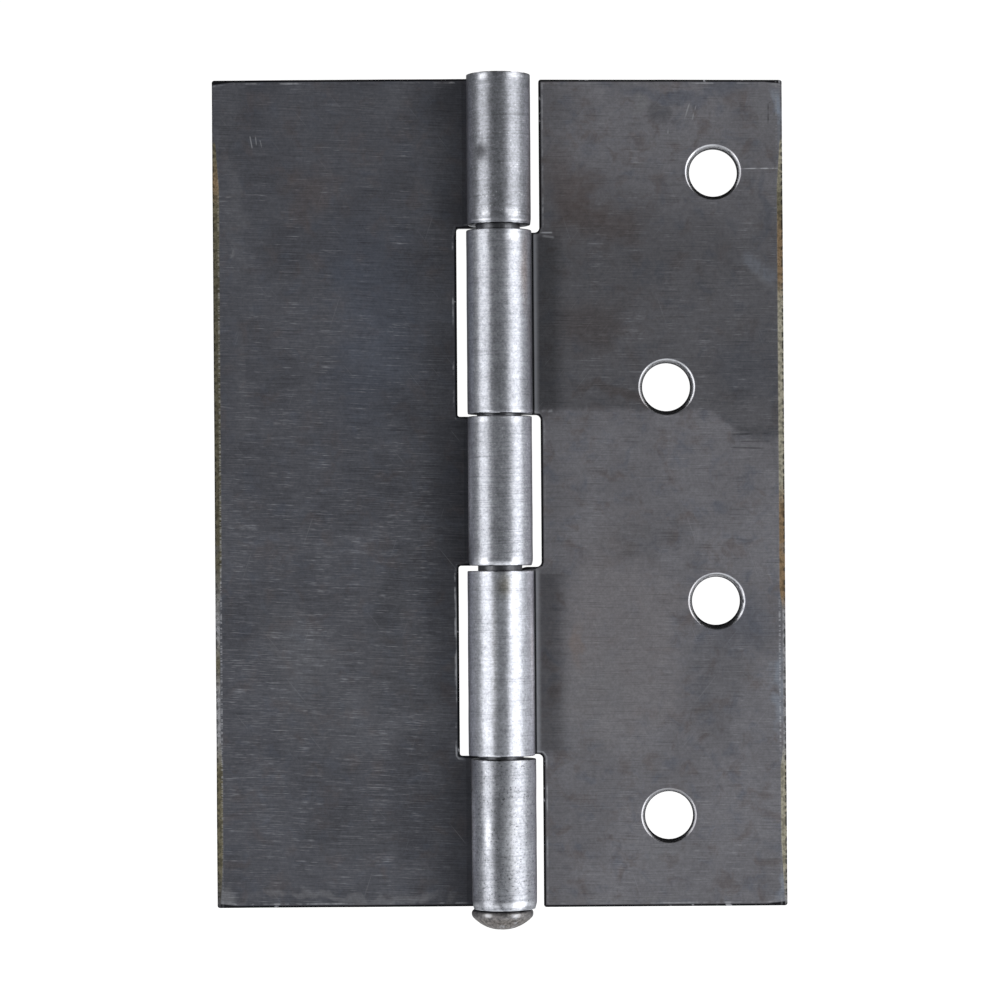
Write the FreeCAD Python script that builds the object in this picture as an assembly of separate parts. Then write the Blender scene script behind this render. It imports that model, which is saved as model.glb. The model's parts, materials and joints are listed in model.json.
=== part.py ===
import FreeCAD, Part
import math
import os

# Loose pin butt hinge, opened flat. All sizes are in millimetres.
# The pin stands along Z with its head at the bottom. The barrel side faces -Y.
# The plain leaf lies on the -X side and the drilled leaf on the +X side.
# The origin is on the pin's axis, halfway up the whole hinge, head included.

# Sheet and leaves
leaf_height = 101.6
plain_leaf_width = 35.0
drilled_leaf_width = 35.0
sheet_thickness = 1.2
outer_corner_radius = 0.3

# Pin
pin_diameter = 5.4
pin_running_clearance = 0.05
pin_top_recess = 1.0
pin_end_chamfer = 0.5
pin_fillet_under_head = 0.15

# Pin head
head_diameter = 7.6
head_height = 2.5
head_rim_height = 0.75
head_edge_round = 0.35
head_seat_gap = 0.1

# Knuckles: the drilled leaf has one fewer, and they fit between those of the plain leaf
plain_knuckle_count = 3
plain_knuckle_length = 18.2
knuckle_gap = 0.6
drilled_leaf_drop = 0.15
knuckle_rim_round = 0.2
curl_end_gap = 0.2

# Notches in the leaves, beside the other leaf's knuckles
notch_clearance = 1.15
plain_notch_radius = 0.3
drilled_notch_radius = 0.6

# Screw holes in the drilled leaf, set zigzag in two columns
hole_count = 4
hole_diameter = 5.9
hole_chamfer = 0.55
hole_pitch = 26.3
hole_pattern_drop = 0.2
outer_hole_edge_distance = 8.5
inner_hole_edge_distance = 14.45

# Worked out from the sizes above
bore_radius = pin_diameter / 2 + pin_running_clearance
barrel_radius = bore_radius + sheet_thickness
overall_height = leaf_height + head_seat_gap + head_height
head_tip_z = -overall_height / 2
head_seat_z = head_tip_z + head_height
plain_bottom_z = head_seat_z + head_seat_gap
drilled_bottom_z = plain_bottom_z - drilled_leaf_drop
drilled_knuckle_count = plain_knuckle_count - 1
knuckle_gap_count = plain_knuckle_count + drilled_knuckle_count - 1
left_for_drilled = leaf_height - plain_knuckle_count * plain_knuckle_length - knuckle_gap_count * knuckle_gap
drilled_knuckle_length = left_for_drilled / drilled_knuckle_count
notch_depth = barrel_radius + notch_clearance
knuckle_pitch = plain_knuckle_length + knuckle_gap + drilled_knuckle_length + knuckle_gap

y_axis = FreeCAD.Vector(0, 1, 0)
z_axis = FreeCAD.Vector(0, 0, 1)
origin = FreeCAD.Vector(0, 0, 0)
diagonal_share = math.sin(math.pi / 4)


def knuckle_spans(first, length, count):
    """Bottom and top of each knuckle of one leaf, measured up from that leaf's foot."""
    starts = [first + index * knuckle_pitch for index in range(count)]
    return [(start, start + length) for start in starts]


def on_barrel(radius, angle, side):
    """A point of the curl's section. The angle runs from the sheet's back, round the front."""
    return FreeCAD.Vector(-side * radius * math.sin(angle), radius * math.cos(angle), 0)


def curl_end_angle():
    """How far the sheet is rolled: its end stops short of the sheet's own front face."""
    rise = barrel_radius - sheet_thickness - curl_end_gap
    return 2 * math.pi - math.acos(rise / barrel_radius)


def strip_section(width, side):
    """The rolled sheet seen along the pin: flat leaf, round mill edge and the curl round the pin."""
    end = curl_end_angle()
    edge_x = side * (width - sheet_thickness / 2)
    back_inner = on_barrel(barrel_radius, 0, side)
    back_outer = FreeCAD.Vector(edge_x, barrel_radius, 0)
    edge_middle = FreeCAD.Vector(side * width, barrel_radius - sheet_thickness / 2, 0)
    front_outer = FreeCAD.Vector(edge_x, bore_radius, 0)
    front_inner = on_barrel(bore_radius, 0, side)
    bore_end = on_barrel(bore_radius, end, side)
    outside_end = on_barrel(barrel_radius, end, side)
    edges = [
        Part.LineSegment(back_inner, back_outer),
        Part.Arc(back_outer, edge_middle, front_outer),
        Part.LineSegment(front_outer, front_inner),
        Part.Arc(front_inner, on_barrel(bore_radius, end / 2, side), bore_end),
        Part.LineSegment(bore_end, outside_end),
        Part.Arc(outside_end, on_barrel(barrel_radius, end / 2, side), back_inner),
    ]
    return Part.Face(Part.Wire([edge.toShape() for edge in edges]))


def notch_cutter(low, high, side, corner_radius, open_low, open_high):
    """Removes the curl and the leaf's inner edge between two heights, with rounded inner corners."""
    reach = 2 * barrel_radius
    bottom = low - reach if open_low else low
    top = high + reach if open_high else high
    box = Part.makeBox(reach + notch_depth, 2 * reach, top - bottom)
    start_x = -reach if side > 0 else -notch_depth
    box.translate(FreeCAD.Vector(start_x, -reach, bottom))
    inner_x = side * notch_depth
    corners = []
    for edge in box.Edges:
        middle = edge.CenterOfMass
        runs_through = abs(edge.tangentAt(edge.FirstParameter).dot(y_axis)) > diagonal_share
        at_inner_side = abs(middle.x - inner_x) < corner_radius / 2
        if runs_through and at_inner_side:
            at_open_end = (open_low and middle.z < low) or (open_high and middle.z > high)
            if not at_open_end:
                corners.append(edge)
    return box.makeFillet(corner_radius, corners)


def rim_cutter(height, direction, sweep, side):
    """The waste outside a knuckle's rounded outer rim. direction is +1 at its top, -1 at its foot."""
    radius = knuckle_rim_round
    inner = barrel_radius - radius
    outer = barrel_radius + radius
    face_point = FreeCAD.Vector(0, inner, height)
    side_point = FreeCAD.Vector(0, barrel_radius, height - direction * radius)
    across = radius * diagonal_share
    arc_point = FreeCAD.Vector(0, inner + across, height - direction * (radius - across))
    corners = [
        side_point,
        FreeCAD.Vector(0, outer, height - direction * radius),
        FreeCAD.Vector(0, outer, height + direction * radius),
        FreeCAD.Vector(0, inner, height + direction * radius),
        face_point,
    ]
    edges = [Part.Arc(face_point, arc_point, side_point).toShape()]
    edges += [Part.makeLine(first, second) for first, second in zip(corners, corners[1:])]
    return Part.Face(Part.Wire(edges)).revolve(origin, z_axis, side * sweep)


def corner_waste(width, side, height):
    """The waste outside one rounded outer corner of a leaf, at its foot or its top."""
    radius = outer_corner_radius
    inward = 1 if height == 0 else -1
    centre_x = side * (width - radius)
    centre_z = height + inward * radius
    slanted = radius * diagonal_share
    on_end = FreeCAD.Vector(centre_x, 0, height)
    on_edge = FreeCAD.Vector(side * width, 0, centre_z)
    middle = FreeCAD.Vector(centre_x + side * slanted, 0, centre_z - inward * slanted)
    past_edge = FreeCAD.Vector(side * (width + radius), 0, centre_z)
    far_corner = FreeCAD.Vector(side * (width + radius), 0, height - inward * radius)
    past_end = FreeCAD.Vector(centre_x, 0, height - inward * radius)
    corners = [on_edge, past_edge, far_corner, past_end, on_end]
    edges = [Part.Arc(on_end, middle, on_edge).toShape()]
    edges += [Part.makeLine(first, second) for first, second in zip(corners, corners[1:])]
    past_the_back = 2 * barrel_radius
    return Part.Face(Part.Wire(edges)).extrude(y_axis * past_the_back)


def curled_leaf(width, side, foot_z, knuckles, notch_radius):
    """One leaf: a sheet rolled at one edge, notched for the other leaf, with its rims eased."""
    leaf = strip_section(width, side).extrude(z_axis * leaf_height)
    marks = [0] + [height for span in knuckles for height in span] + [leaf_height]
    for low, high in zip(marks[0::2], marks[1::2]):
        if high > low:
            cutter = notch_cutter(low, high, side, notch_radius, low == 0, high == leaf_height)
            leaf = leaf.cut(cutter)
    sweep = math.degrees(curl_end_angle())
    for low, high in knuckles:
        leaf = leaf.cut(rim_cutter(low, -1, sweep, side))
        leaf = leaf.cut(rim_cutter(high, 1, sweep, side))
    leaf = leaf.cut(corner_waste(width, side, 0))
    leaf = leaf.cut(corner_waste(width, side, leaf_height))
    leaf.translate(z_axis * foot_z)
    return leaf


def screw_hole(x, z):
    """The waste of one chamfered through hole, drilled from the barrel side."""
    radius = hole_diameter / 2
    drill_start = FreeCAD.Vector(x, bore_radius - sheet_thickness / 2, z)
    drill = Part.makeCylinder(radius, 2 * sheet_thickness, drill_start, y_axis)
    cone_start = FreeCAD.Vector(x, bore_radius - hole_chamfer, z)
    cone_length = 2 * hole_chamfer
    countersink = Part.makeCone(radius + cone_length, radius, cone_length, cone_start, y_axis)
    return drill.fuse(countersink)


def plain_leaf():
    knuckles = knuckle_spans(0, plain_knuckle_length, plain_knuckle_count)
    return curled_leaf(plain_leaf_width, -1, plain_bottom_z, knuckles, plain_notch_radius)


def drilled_leaf():
    first_knuckle = plain_knuckle_length + knuckle_gap
    knuckles = knuckle_spans(first_knuckle, drilled_knuckle_length, drilled_knuckle_count)
    leaf = curled_leaf(drilled_leaf_width, 1, drilled_bottom_z, knuckles, drilled_notch_radius)
    pattern_height = (hole_count - 1) * hole_pitch
    lowest_hole_z = drilled_bottom_z + (leaf_height - pattern_height) / 2 - hole_pattern_drop
    for index in range(hole_count):
        edge_distance = inner_hole_edge_distance if index % 2 == 0 else outer_hole_edge_distance
        hole_z = lowest_hole_z + index * hole_pitch
        leaf = leaf.cut(screw_hole(drilled_leaf_width - edge_distance, hole_z))
    return leaf


def loose_pin():
    """A plain rod with a low domed head, turned as one profile about the Z axis."""
    rod_radius = pin_diameter / 2
    head_radius = head_diameter / 2
    top_z = plain_bottom_z + leaf_height - pin_top_recess
    rim_z = head_seat_z - head_rim_height
    rim_radius = head_radius - head_edge_round
    round_start_z = head_seat_z - head_edge_round
    eased = head_edge_round * diagonal_share
    dome_height = rim_z - head_tip_z
    dome_radius = (head_radius ** 2 + dome_height ** 2) / (2 * dome_height)
    half_angle = math.asin(head_radius / dome_radius) / 2
    dome_x = dome_radius * math.sin(half_angle)
    dome_z = head_tip_z + dome_radius * (1 - math.cos(half_angle))
    fillet = pin_fillet_under_head
    root = fillet * diagonal_share

    def at(radius, z):
        return FreeCAD.Vector(radius, 0, z)

    edges = [
        Part.Arc(at(0, head_tip_z), at(dome_x, dome_z), at(head_radius, rim_z)),
        Part.LineSegment(at(head_radius, rim_z), at(head_radius, round_start_z)),
        Part.Arc(at(head_radius, round_start_z),
                 at(rim_radius + eased, round_start_z + eased),
                 at(rim_radius, head_seat_z)),
        Part.LineSegment(at(rim_radius, head_seat_z), at(rod_radius + fillet, head_seat_z)),
        Part.Arc(at(rod_radius + fillet, head_seat_z),
                 at(rod_radius + fillet - root, head_seat_z + fillet - root),
                 at(rod_radius, head_seat_z + fillet)),
        Part.LineSegment(at(rod_radius, head_seat_z + fillet), at(rod_radius, top_z - pin_end_chamfer)),
        Part.LineSegment(at(rod_radius, top_z - pin_end_chamfer), at(rod_radius - pin_end_chamfer, top_z)),
        Part.LineSegment(at(rod_radius - pin_end_chamfer, top_z), at(0, top_z)),
        Part.LineSegment(at(0, top_z), at(0, head_tip_z)),
    ]
    profile = Part.Face(Part.Wire([edge.toShape() for edge in edges]))
    return profile.revolve(origin, z_axis, 360)


pieces = {
    "plain_leaf": plain_leaf,
    "drilled_leaf": drilled_leaf,
    "loose_pin": loose_pin,
}

os.makedirs("parts", exist_ok=True)
for name, make in pieces.items():
    shape = make()
    shape.exportStep("parts/" + name + ".step")
    print(name, "solids", len(shape.Solids), "valid", shape.isValid(), "volume", round(shape.Volume, 2))
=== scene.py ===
import json

import bmesh
import bpy
from math import acos, asin, atan2, copysign, cos, hypot, pi, radians, sin, sqrt, tan
from mathutils import Matrix, Vector, kdtree, noise


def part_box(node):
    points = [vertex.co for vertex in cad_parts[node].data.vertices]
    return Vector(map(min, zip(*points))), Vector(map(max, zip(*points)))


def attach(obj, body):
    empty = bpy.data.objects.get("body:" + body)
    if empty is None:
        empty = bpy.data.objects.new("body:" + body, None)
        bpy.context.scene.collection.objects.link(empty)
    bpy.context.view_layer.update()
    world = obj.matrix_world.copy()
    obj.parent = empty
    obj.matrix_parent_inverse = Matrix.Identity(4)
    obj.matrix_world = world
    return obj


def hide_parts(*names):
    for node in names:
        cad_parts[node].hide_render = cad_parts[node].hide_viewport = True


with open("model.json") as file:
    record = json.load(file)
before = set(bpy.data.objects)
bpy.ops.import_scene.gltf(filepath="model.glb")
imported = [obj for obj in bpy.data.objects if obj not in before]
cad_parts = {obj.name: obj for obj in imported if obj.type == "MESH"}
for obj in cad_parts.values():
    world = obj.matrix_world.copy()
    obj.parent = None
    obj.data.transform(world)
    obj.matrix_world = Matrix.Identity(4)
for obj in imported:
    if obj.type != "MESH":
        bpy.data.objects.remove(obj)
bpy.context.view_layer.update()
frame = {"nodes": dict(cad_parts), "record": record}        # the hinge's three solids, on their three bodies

mm = 0.001
print("frame loaded:", ", ".join(sorted(frame["nodes"])))

# Steel sheet that both leaves are blanked from and rolled round the pin
sheet = {
    "thickness": 1.2 * mm,
    "boreRadius": 2.75 * mm,
    "seamGap": 0.2 * mm,            # the rolled end stops this far short of the leaf
    "outerRound": 0.12 * mm,        # rollover on the side that becomes the barrel's outside
    "innerRound": 0.14 * mm,        # burr side, which faces the camera on the flat leaves
    "millRound": 0.52 * mm,         # the long mill edges are nearly half round
    "cornerRound": 0.3 * mm,
    "tabCornerRound": 0.12 * mm,
    "notchReach": 5.1 * mm,         # pin axis to the notch's inner side
    "curlStep": radians(3),
    "curlRow": 0.62 * mm,           # the barrel's mesh rows, fine enough for its dents
    "gridStep": 1.3 * mm,
    "edgeRow": 0.32 * mm,           # two finer rows of cells run along every sheared edge
    "outlineStep": 0.05 * mm,
    "flareFrom": 1.6 * mm,          # a knuckle's root widens from here, measured from the pin axis,
    "flareTo": 3.2 * mm,            # to here, because rolling spreads the sheared sheet
    "undulation": 0.018 * mm,       # hammered unevenness of the rolled barrel
    "wander": 0.05 * mm,            # how far the outline strays inward, together with what lies within
    "rimReach": 0.25 * mm,          # this of the top or the foot
    "outerReach": 1.5 * mm,         # or this of the outer edge
    "topFallReach": 12 * mm,        # how far down the sheet a falling top edge is felt
}
sheet["outerRadius"] = sheet["boreRadius"] + sheet["thickness"]
sheet["middleRadius"] = sheet["boreRadius"] + sheet["thickness"] / 2
seamRise = sheet["boreRadius"] - sheet["seamGap"]
sheet["curlAngle"] = 2 * pi - acos(seamRise / sheet["outerRadius"])
sheet["curlLength"] = sheet["curlAngle"] * sheet["middleRadius"]

footOf = {node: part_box(node)[0].z for node in ("plain_leaf", "drilled_leaf")}
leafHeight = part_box("plain_leaf")[1].z - footOf["plain_leaf"]
knuckleGap = 0.6 * mm
plainKnuckle = 18.2 * mm
drilledKnuckle = (leafHeight - 3 * plainKnuckle - 4 * knuckleGap) / 2
knucklePitch = plainKnuckle + drilledKnuckle + 2 * knuckleGap


def knuckleSpans(first, length, knuckles):
    # the knuckles are evenly spaced, but each sheared end is a little off its place
    spans = []
    for i, knuckle in enumerate(knuckles):
        low = first + i * knucklePitch
        spans.append((low + knuckle["ends"][0] * mm, low + length + knuckle["ends"][1] * mm))
    return spans


def screwHolePlaces():
    # the record's two bolt patterns, as (across, up) on the drilled leaf's blank
    places = []
    for mount in frame["record"]["mounts"]:
        if mount["kind"] == "bolt_pattern":
            x, y, z = mount["pos_m"]
            half = mount["dims"]["spacing_y_mm"] * mm / 2
            places += [(x, z + rise - footOf["drilled_leaf"]) for rise in (-half, half)]
    return places


# Knuckles, from the foot up. "right" and "left" widen the outer skin on the picture's right and left,
# "flat" is a flat's depth in mm and its side in degrees right of the front, "lobe" how far the skin is in
# at 45 degrees (or, below 0, at the front and the sides), "tone" the brightness, "worn" the worn lower
# end's height and depth in mm, "ends" how far the lower and upper ends are off, upward, and
# "flares" how much wider the root is below and above, in mm
plainKnuckles = [
    {"right": 1.078, "left": 0.935, "flat": (0.05, 20), "lobe": 0.02, "tone": 0.95, "worn": (1.05, 0.2),
     "ends": (0, 0.08), "flares": (0, 0.19)},
    {"right": 1.035, "left": 0.99, "flat": (0.05, -10), "lobe": -0.07, "tone": 1.0, "worn": (0.72, 0.16),
     "ends": (0.12, 0.08), "flares": (0, 0.14)},
    {"right": 1.03, "left": 0.95, "flat": (0.04, 10), "lobe": 0.0, "tone": 0.72, "worn": (0.9, 0.10),
     "ends": (-0.1, 0), "flares": (0.06, 0)},
]
drilledKnuckles = [
    {"right": 1.08, "left": 1.044, "flat": (0.12, 70), "lobe": 0.15, "tone": 1.22, "worn": (0.35, 0.04),
     "ends": (0, 0.24), "flares": (0, 0.45)},
    {"right": 1.045, "left": 0.984, "flat": (0.06, 25), "lobe": 0.02, "tone": 0.96, "worn": (0.4, 0.05),
     "ends": (-0.06, 0), "flares": (0, 0)},
]
plainLeaf = {
    "name": "plainLeafSheet",
    "node": "plain_leaf",
    "slot": "plain_leaf_steel",
    "side": -1,
    "topFall": 0.0,
    "notchRound": 0.3 * mm,
    "knuckles": plainKnuckles,
    "spans": knuckleSpans(0, plainKnuckle, plainKnuckles),
    "holes": [],
    # right of the front, up, half width, half height, depth in mm
    "dents": [(1.5, 84.9, 1.0, 1.0, 0.04), (-1.9, 84.6, 1.1, 1.1, 0.05), (-0.2, 97.0, 0.5, 0.5, 0.02)],
}
drilledLeaf = {
    "name": "drilledLeafSheet",
    "node": "drilled_leaf",
    "slot": "drilled_leaf_steel",
    "side": 1,
    "topFall": 0.008,               # how far its top edge is out of square, as a slope
    "notchRound": 0.6 * mm,
    "knuckles": drilledKnuckles,
    "spans": knuckleSpans(plainKnuckle + knuckleGap, drilledKnuckle, drilledKnuckles),
    "holes": screwHolePlaces(),
    "dents": [(1.4, 81.7, 1.0, 1.0, 0.04), (0.9, 40.5, 1.2, 1.2, 0.03)],
}
# A punched hole's rolled lip: a shallow step round the outside, then a steep one into the bore
screwHole = {
    "radius": 2.95 * mm,
    "lip": 0.5 * mm,
    "shallowWidth": 0.17 * mm,
    "shallowSlope": 0.5,
    "steepSlope": 1.2,
    "steps": 72,
    # how far each lip is off its bore to the right and up, and how much wider it is, from the foot up
    "lips": [(-0.04, 0.0, -0.05), (0.07, -0.02, 0.06), (0.06, 0.02, 0.04), (-0.03, 0.07, 0.0)],
}

pin = {
    "name": "loosePinRod",
    "node": "loose_pin",
    "slot": "pin_steel",
    "rodRadius": 2.7 * mm,
    "headRadius": 3.8 * mm,
    "headHeight": 2.5 * mm,
    "rimHeight": 0.75 * mm,
    "rimRound": 0.35 * mm,
    "domeRound": 0.4 * mm,
    "endChamfer": 0.5 * mm,
    "forgeDepth": 0.05 * mm,
    "steps": 128,
}


def cornersNear(bm, points):
    found = []
    for point in points:
        found += [v for v in bm.verts if abs(v.co.x - point[0]) + abs(v.co.z - point[1]) < 0.02 * mm]
    return found


def roundCorners(bm, points, radius):
    bmesh.ops.bevel(bm, geom=cornersNear(bm, points), offset=radius, offset_type="OFFSET", segments=5,
                    profile=0.5, affect="VERTICES", material=-1)


def sharpEdges(bm, angle, wanted=lambda edge: True):
    edges = []
    for edge in bm.edges:
        if len(edge.link_faces) == 2 and edge.calc_face_angle(0) > angle and wanted(edge):
            edges.append(edge)
    return edges


def roundEdges(bm, edges, radius, segments):
    bmesh.ops.bevel(bm, geom=edges, offset=radius, offset_type="OFFSET", segments=segments, profile=0.5,
                    affect="EDGES", clamp_overlap=True, material=-1)


# The flat blank lies in x (0 at the pin, + to the leaf's outer edge) and z, before it is rolled
def blankCorners(leaf, width):
    reach, tip = sheet["notchReach"], -sheet["curlLength"]
    corners = {"outer": [(width, 0), (width, leafHeight)], "notch": [], "tab": []}
    path = [(width, 0), (width, leafHeight)]
    if leaf["spans"][-1][1] < leafHeight - mm / 10:
        path.append((reach, leafHeight))
        corners["outer"].append((reach, leafHeight))
    for (low, high), knuckle in reversed(list(zip(leaf["spans"], leaf["knuckles"]))):
        wideLow, wideHigh = low - knuckle["flares"][0] * mm, high + knuckle["flares"][1] * mm
        if high < leafHeight - mm / 10:
            path += [(reach, wideHigh), (sheet["flareTo"], wideHigh), (sheet["flareFrom"], high)]
            corners["notch"].append((reach, wideHigh))
        path += [(tip, high), (tip, low)]
        corners["tab"] += [(tip, high), (tip, low)]
        if low > mm / 10:
            path += [(sheet["flareFrom"], low), (sheet["flareTo"], wideLow), (reach, wideLow)]
            corners["notch"].append((reach, wideLow))
    if leaf["spans"][0][0] > mm / 10:
        path.append((reach, 0))
        corners["outer"].append((reach, 0))
    return path, corners


def shearedOutline(bm, width):
    # points along the blank's sheared edges, which are all but its long mill edge
    points = []
    for edge in bm.edges:
        start, end = [v.co.copy() for v in edge.verts]
        if min(start.x, end.x) < width - 0.01 * mm:
            count = int((end - start).length / sheet["outlineStep"]) + 1
            points += [start.lerp(end, i / count) for i in range(count + 1)]
    tree = kdtree.KDTree(len(points))
    for i, point in enumerate(points):
        tree.insert((point.x, 0, point.z), i)
    tree.balance()
    return tree


def blankSheet(leaf, width):
    bm = bmesh.new()
    path, corners = blankCorners(leaf, width)
    bm.faces.new([bm.verts.new((x, sheet["boreRadius"], z)) for x, z in path])
    roundCorners(bm, corners["outer"], sheet["cornerRound"])
    roundCorners(bm, corners["notch"], leaf["notchRound"])
    roundCorners(bm, corners["tab"], sheet["tabCornerRound"])
    outline = shearedOutline(bm, width)
    raised = bmesh.ops.extrude_face_region(bm, geom=bm.faces[:])["geom"]
    risen = [item for item in raised if isinstance(item, bmesh.types.BMVert)]
    bmesh.ops.translate(bm, verts=risen, vec=(0, sheet["thickness"], 0))
    bmesh.ops.recalc_face_normals(bm, faces=bm.faces[:])
    nearEdge = width - 0.01 * mm
    millEdges = [e for e in bm.edges if min(v.co.x for v in e.verts) > nearEdge
                 and e.calc_length() > leafHeight / 2]
    roundEdges(bm, millEdges, sheet["millRound"], 5)
    return bm, outline


def turned(profile, steps):
    # profile is (radius, height) pairs, spun round the Z axis
    bm = bmesh.new()
    points = [bm.verts.new((radius, 0, height)) for radius, height in profile]
    edges = [bm.edges.new(pair) for pair in zip(points, points[1:])]
    bmesh.ops.spin(bm, geom=points + edges, cent=(0, 0, 0), axis=(0, 0, 1), dvec=(0, 0, 0),
                   angle=2 * pi, steps=steps, use_merge=True, use_duplicate=False)
    bmesh.ops.remove_doubles(bm, verts=bm.verts[:], dist=0.0005 * mm)
    bmesh.ops.recalc_face_normals(bm, faces=bm.faces[:])
    return bm


def objectFrom(bm, name):
    mesh = bpy.data.meshes.new(name)
    bm.to_mesh(mesh)
    bm.free()
    made = bpy.data.objects.new(name, mesh)
    bpy.context.scene.collection.objects.link(made)
    return made


def addCutter(cutters, profile, right, up):
    cutter = turned(profile, screwHole["steps"])
    place = Matrix.Translation((right, 0, up)) @ Matrix.Rotation(radians(-90), 4, "X")
    bmesh.ops.transform(cutter, matrix=place, verts=cutter.verts[:])
    mesh = bpy.data.meshes.new("cutter")
    cutter.to_mesh(mesh)
    cutter.free()
    cutters.from_mesh(mesh)
    bpy.data.meshes.remove(mesh)


def lipProfile(radius, front):
    # (radius, depth) pairs of the lip's cutter, which starts in front of the sheet and ends in the bore
    extra, step = 0.3 * mm, screwHole["shallowWidth"]
    shallow, steep = screwHole["shallowSlope"], screwHole["steepSlope"]
    inner = screwHole["radius"] - 0.2 * mm
    depth = front + step * shallow + (radius - step - inner) * steep
    return [(0, front - extra), (radius + extra / shallow, front - extra),
            (radius - step, front + step * shallow), (inner, depth), (0, depth)]


def drillHoles(bm, leaf):
    radius, extra = screwHole["radius"], 0.5 * mm
    front, back = sheet["boreRadius"], sheet["outerRadius"]
    boreProfile = [(0, front - extra), (radius, front - extra), (radius, back + extra), (0, back + extra)]
    bores, lips = bmesh.new(), bmesh.new()
    upward = sorted(leaf["holes"], key=lambda hole: hole[1])
    for (x, z), (right, up, wider) in zip(upward, screwHole["lips"]):
        addCutter(bores, boreProfile, x, z)
        lipRadius = radius + screwHole["lip"] + wider * mm
        addCutter(lips, lipProfile(lipRadius, front), x + right * mm, z + up * mm)
    cutters = [objectFrom(bores, "bores"), objectFrom(lips, "lips")]
    blankObject = objectFrom(bm, "blank")
    for cutter in cutters:
        punch = blankObject.modifiers.new("punch", "BOOLEAN")
        punch.operation = "DIFFERENCE"
        punch.solver = "EXACT"
        punch.object = cutter
    evaluated = blankObject.evaluated_get(bpy.context.evaluated_depsgraph_get())
    punched = bpy.data.meshes.new_from_object(evaluated)
    drilled = bmesh.new()
    drilled.from_mesh(punched)
    for spent in [blankObject] + cutters:
        bpy.data.objects.remove(spent)
    bpy.data.meshes.remove(punched)
    return drilled


def easeEdges(bm, width):
    # rollover on the outside face first, then the burr side, the rolled end and the holes
    outside = sheet["outerRadius"] - 0.001 * mm
    clearOfMill = width - 2 * sheet["millRound"]

    def onOutside(edge):
        return all(v.co.y > outside for v in edge.verts) and max(v.co.x for v in edge.verts) < clearOfMill

    roundEdges(bm, sharpEdges(bm, radians(60), onOutside), sheet["outerRound"], 3)
    roundEdges(bm, sharpEdges(bm, radians(38)), sheet["innerRound"], 2)


def cutRows(bm, geom, direction, distances):
    for distance in distances:
        place = Vector(direction) * distance
        geom = bmesh.ops.bisect_plane(bm, geom=geom, dist=0.002 * mm, plane_co=place,
                                      plane_no=direction)["geom"]


def tabGeometry(bm):
    faces = [f for f in bm.faces if f.calc_center_median().x < 0]
    edges = {e for f in faces for e in f.edges}
    return list({v for e in edges for v in e.verts}) + list(edges) + faces


def cutGrid(bm, leaf, width):
    # fine rows and columns on the tabs that become the barrel, a coarse grid over the flat leaf
    acrossTheSheet, upTheSheet = (1, 0, 0), (0, 0, 1)
    cutRows(bm, bm.verts[:] + bm.edges[:] + bm.faces[:], acrossTheSheet, [0])
    rows = [i * sheet["curlRow"] for i in range(1, int(leafHeight / sheet["curlRow"]))]
    rows += [low + rise * mm for low, high in leaf["spans"] for rise in (0.25, 0.4, 0.8, 1.05)]
    cutRows(bm, tabGeometry(bm), upTheSheet, rows)
    column = sheet["curlStep"] * sheet["middleRadius"]
    columns = range(1, int(sheet["curlAngle"] / sheet["curlStep"]) + 1)
    cutRows(bm, tabGeometry(bm), acrossTheSheet, [-i * column for i in columns])
    flatColumns = [i * sheet["gridStep"] for i in range(1, int(width / sheet["gridStep"]))]
    flatColumns += [sheet["notchReach"] + sheet["edgeRow"] * i for i in (1, 2)]
    cutRows(bm, bm.verts[:] + bm.edges[:] + bm.faces[:], acrossTheSheet, flatColumns)
    offGrid = 0.31 * mm
    flatRows = [i * sheet["gridStep"] + offGrid for i in range(1, int(leafHeight / sheet["gridStep"]))]
    for low, high in leaf["spans"] + [(0, leafHeight)]:
        for rise in (sheet["edgeRow"], 2 * sheet["edgeRow"]):
            flatRows += [low + rise, high - rise]
    cutRows(bm, bm.verts[:] + bm.edges[:] + bm.faces[:], upTheSheet, flatRows)


def knuckleAt(leaf, height):
    for (low, high), knuckle in zip(leaf["spans"], leaf["knuckles"]):
        if low - knuckleGap <= height <= high + knuckleGap:
            return low, high, knuckle


def barrelPlace(leaf, radius, turn, up, low, knuckle):
    # the bore stays true; the outer skin has a flat, a worn lower end, small waves and uneven sides
    outside = (radius - sheet["boreRadius"]) / sheet["thickness"]
    fromFront = (turn - pi) * leaf["side"]
    flat, flatSide = knuckle["flat"]
    lost = flat * mm * 0.5 * (1 + cos(2 * (fromFront - radians(flatSide))))
    lobe = knuckle["lobe"]
    lost += abs(lobe) * mm * 0.5 * (1 - copysign(1, lobe) * cos(4 * fromFront))
    wave = noise.noise(Vector((turn * 2.2, up / mm * 0.3, leaf["side"] * 4.0)))
    lost += sheet["undulation"] * max(0, 1 + wave)
    wornHeight, wornDepth = knuckle["worn"]
    rise = (up - low) / (wornHeight * mm)
    if rise < 1:
        lost += wornDepth * mm * (1 - max(rise, 0)) ** 1.5
    radius -= lost * outside
    rightShare = 0.5 + 0.5 * sin(fromFront)
    skinWidth = knuckle["left"] + (knuckle["right"] - knuckle["left"]) * rightShare
    width = max(1, skinWidth) * (1 - outside) + skinWidth * outside
    width = 1 + (width - 1) * min(1, turn)
    return -radius * sin(turn) * width, radius * cos(turn)


def markGaps(bm, leaf, outline):
    # how far each point lies from the sheared edges and from the bores, in mm on the flat blank
    edgeLayer = bm.verts.layers.float.new("edgeGap")
    boreLayer = bm.verts.layers.float.new("boreGap")
    for v in bm.verts:
        v[edgeLayer] = outline.find((v.co.x, 0, v.co.z))[2] / mm
        reaches = [hypot(v.co.x - x, v.co.z - z) - screwHole["radius"] for x, z in leaf["holes"]]
        v[boreLayer] = min(reaches, default=leafHeight) / mm


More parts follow.
